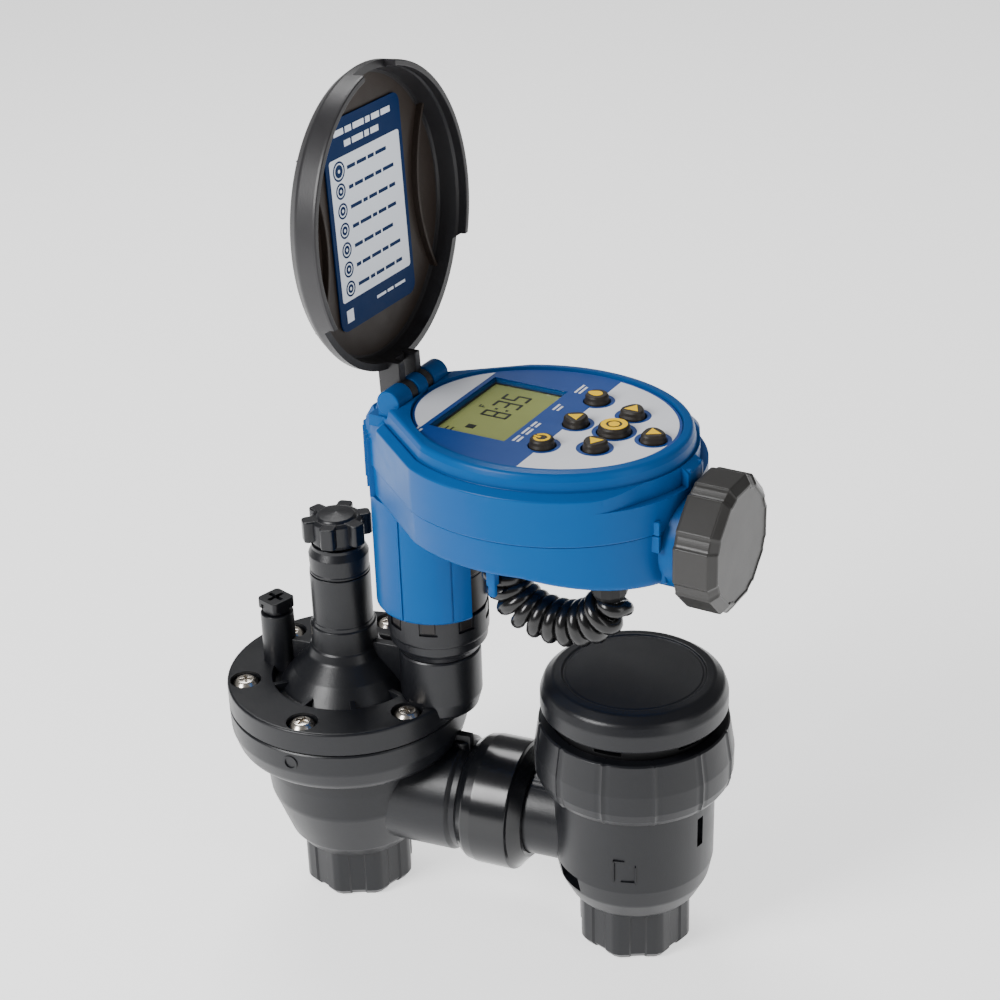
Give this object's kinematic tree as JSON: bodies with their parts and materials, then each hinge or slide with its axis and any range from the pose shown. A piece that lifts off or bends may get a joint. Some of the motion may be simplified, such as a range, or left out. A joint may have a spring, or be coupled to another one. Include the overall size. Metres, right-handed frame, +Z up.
{
  "type": "drip irrigation timer",
  "caption": "Battery irrigation controller with a hinged lid, on a diaphragm valve with a vacuum breaker and two downward pipe ports.",
  "frame": {"origin": "bottom centre of the bounding box, in the plane of the two port faces", "axes": "+Z up, +X from the inlet port to the outlet port, +Y towards the back"},
  "size_m": [0.1876, 0.096, 0.2967],
  "materials": {
    "black_plastic": "satin moulded nylon, fine grain",
    "stainless": "bright stainless",
    "seal_rubber": "matte black rubber",
    "white_plastic": "plain acetal",
    "blue_plastic": "satin bright blue, fine grain",
    "face_print": "printed film, blue and white areas",
    "lid_print": "printed film, deep blue with a pale panel",
    "display_window": "clear window",
    "display": "olive liquid-crystal glass",
    "board": "green circuit board",
    "keypad_rubber": "dark brown-grey rubber, yellow marks",
    "cell_wrap": "plain cell jacket",
    "contact_brass": "spring brass",
    "cap_plastic": "satin mid grey",
    "lid_plastic": "satin dark grey",
    "cord_jacket": "glossy black jacket"
  },
  "bodies": {
    "valve": {"valve_body": "black_plastic", "valve_bonnet": "black_plastic", "bonnet_screw_1": "stainless", "bonnet_screw_2": "stainless", "bonnet_screw_3": "stainless", "bonnet_screw_4": "stainless", "bonnet_screw_5": "stainless", "bonnet_screw_6": "stainless", "diaphragm_spring": "stainless", "flow_stem_gland": "black_plastic", "solenoid_adapter": "black_plastic", "solenoid_body": "black_plastic", "solenoid_o_ring": "seal_rubber", "plunger_spring": "stainless", "outlet_coupling": "black_plastic", "outlet_coupling_o_ring": "seal_rubber", "breaker_body": "black_plastic", "breaker_collar": "black_plastic", "breaker_neck": "black_plastic", "breaker_canopy": "black_plastic"},
    "diaphragm": {"diaphragm": "seal_rubber"},
    "plunger": {"solenoid_plunger": "stainless"},
    "breaker_float": {"breaker_float": "white_plastic", "breaker_float_seal": "seal_rubber"},
    "flow_stem_travel": {"flow_stem_o_ring": "seal_rubber"},
    "flow_stem": {"flow_control_stem": "black_plastic", "flow_control_knob": "black_plastic"},
    "bleed_travel": {"bleed_screw_o_ring": "seal_rubber"},
    "bleed_screw": {"bleed_screw": "black_plastic"},
    "head": {"lower_housing": "blue_plastic", "upper_housing": "blue_plastic", "case_gasket": "seal_rubber", "case_screw_1": "stainless", "case_screw_2": "stainless", "case_screw_3": "stainless", "case_screw_4": "stainless", "face_label": "face_print", "lcd_window": "display_window", "lcd_module": "display", "circuit_board": "board", "keypad_frame": "keypad_rubber", "battery": "cell_wrap", "battery_contacts": "contact_brass", "hinge_pin": "stainless", "curly_cord": "cord_jacket", "cord_gland_1": "black_plastic", "cord_gland_2": "black_plastic"},
    "lid": {"lid": "lid_plastic", "lid_label": "lid_print"},
    "cap_travel": {"battery_cap_seal": "seal_rubber"},
    "battery_cap": {"battery_cap": "cap_plastic"},
    "button_set": {"button_set": "keypad_rubber"},
    "button_up": {"button_up": "keypad_rubber"},
    "button_down": {"button_down": "keypad_rubber"},
    "button_right": {"button_right": "keypad_rubber"},
    "button_left": {"button_left": "keypad_rubber"},
    "button_power": {"button_power": "keypad_rubber"},
    "button_manual": {"button_manual": "keypad_rubber"}
  },
  "joints": [
    {"name": "diaphragm_lift", "type": "slide", "parent": "valve", "child": "diaphragm", "axis": [0, 0, 1], "range_m": [0, 0.004], "stiffness_N_per_m": 300, "springref_m": -0.003, "deforming": ["diaphragm_spring"]},
    {"name": "plunger_lift", "type": "slide", "parent": "valve", "child": "plunger", "axis": [0, 0, 1], "range_m": [0, 0.002], "stiffness_N_per_m": 400, "springref_m": -0.003, "deforming": ["plunger_spring"]},
    {"name": "float_lift", "type": "slide", "parent": "valve", "child": "breaker_float", "axis": [0, 0, 1], "range_m": [0, 0.008]},
    {"name": "flow_stem_rise", "type": "slide", "parent": "valve", "child": "flow_stem_travel", "axis": [0, 0, 1], "range_m": [0, 0.0046]},
    {"name": "flow_knob_turn", "type": "hinge", "parent": "flow_stem_travel", "child": "flow_stem", "pos_m": [-0.05244, 0.00243, 0.133], "axis": [0, 0, 1], "range_deg": [0, 1080]},
    {"name": "bleed_rise", "type": "slide", "parent": "valve", "child": "bleed_travel", "axis": [0, 0, 1], "range_m": [0, 0.0016]},
    {"name": "bleed_turn", "type": "hinge", "parent": "bleed_travel", "child": "bleed_screw", "pos_m": [-0.07804, 0.00243, 0.102], "axis": [0, 0, 1], "range_deg": [0, 540]},
    {"name": "head_swivel", "type": "hinge", "parent": "valve", "child": "head", "pos_m": [-0.01679, 0.00243, 0.14], "axis": [0, 0, 1], "range_deg": [-80, 80]},
    {"name": "lid_hinge", "type": "hinge", "parent": "head", "child": "lid", "pos_m": [-0.02214, 0.00317, 0.1932], "axis": [0.1387, 0.9903, 0], "range_deg": [0, 92.5]},
    {"name": "cap_out", "type": "slide", "parent": "head", "child": "cap_travel", "axis": [0.9903, -0.1387, 0], "range_m": [0, 0.0046]},
    {"name": "cap_turn", "type": "hinge", "parent": "cap_travel", "child": "battery_cap", "pos_m": [0.08422, -0.01172, 0.1635], "axis": [0.9903, -0.1387, 0], "range_deg": [0, 540]},
    {"name": "button_set_press", "type": "slide", "parent": "head", "child": "button_set", "axis": [0, 0, -1], "range_m": [0, 0.0012], "stiffness_N_per_m": 500, "springref_m": -0.0005},
    {"name": "button_up_press", "type": "slide", "parent": "head", "child": "button_up", "axis": [0, 0, -1], "range_m": [0, 0.0012], "stiffness_N_per_m": 500, "springref_m": -0.0005},
    {"name": "button_down_press", "type": "slide", "parent": "head", "child": "button_down", "axis": [0, 0, -1], "range_m": [0, 0.0012], "stiffness_N_per_m": 500, "springref_m": -0.0005},
    {"name": "button_right_press", "type": "slide", "parent": "head", "child": "button_right", "axis": [0, 0, -1], "range_m": [0, 0.0012], "stiffness_N_per_m": 500, "springref_m": -0.0005},
    {"name": "button_left_press", "type": "slide", "parent": "head", "child": "button_left", "axis": [0, 0, -1], "range_m": [0, 0.0012], "stiffness_N_per_m": 500, "springref_m": -0.0005},
    {"name": "button_power_press", "type": "slide", "parent": "head", "child": "button_power", "axis": [0, 0, -1], "range_m": [0, 0.0012], "stiffness_N_per_m": 500, "springref_m": -0.0005},
    {"name": "button_manual_press", "type": "slide", "parent": "head", "child": "button_manual", "axis": [0, 0, -1], "range_m": [0, 0.0012], "stiffness_N_per_m": 500, "springref_m": -0.0005}
  ],
  "couplings": [
    {"joint": "flow_stem_rise", "follows": "flow_knob_turn", "m_per_rad": 0.00023873},
    {"joint": "bleed_rise", "follows": "bleed_turn", "m_per_rad": 0.00015915},
    {"joint": "cap_out", "follows": "cap_turn", "m_per_rad": 0.00047746}
  ]
}
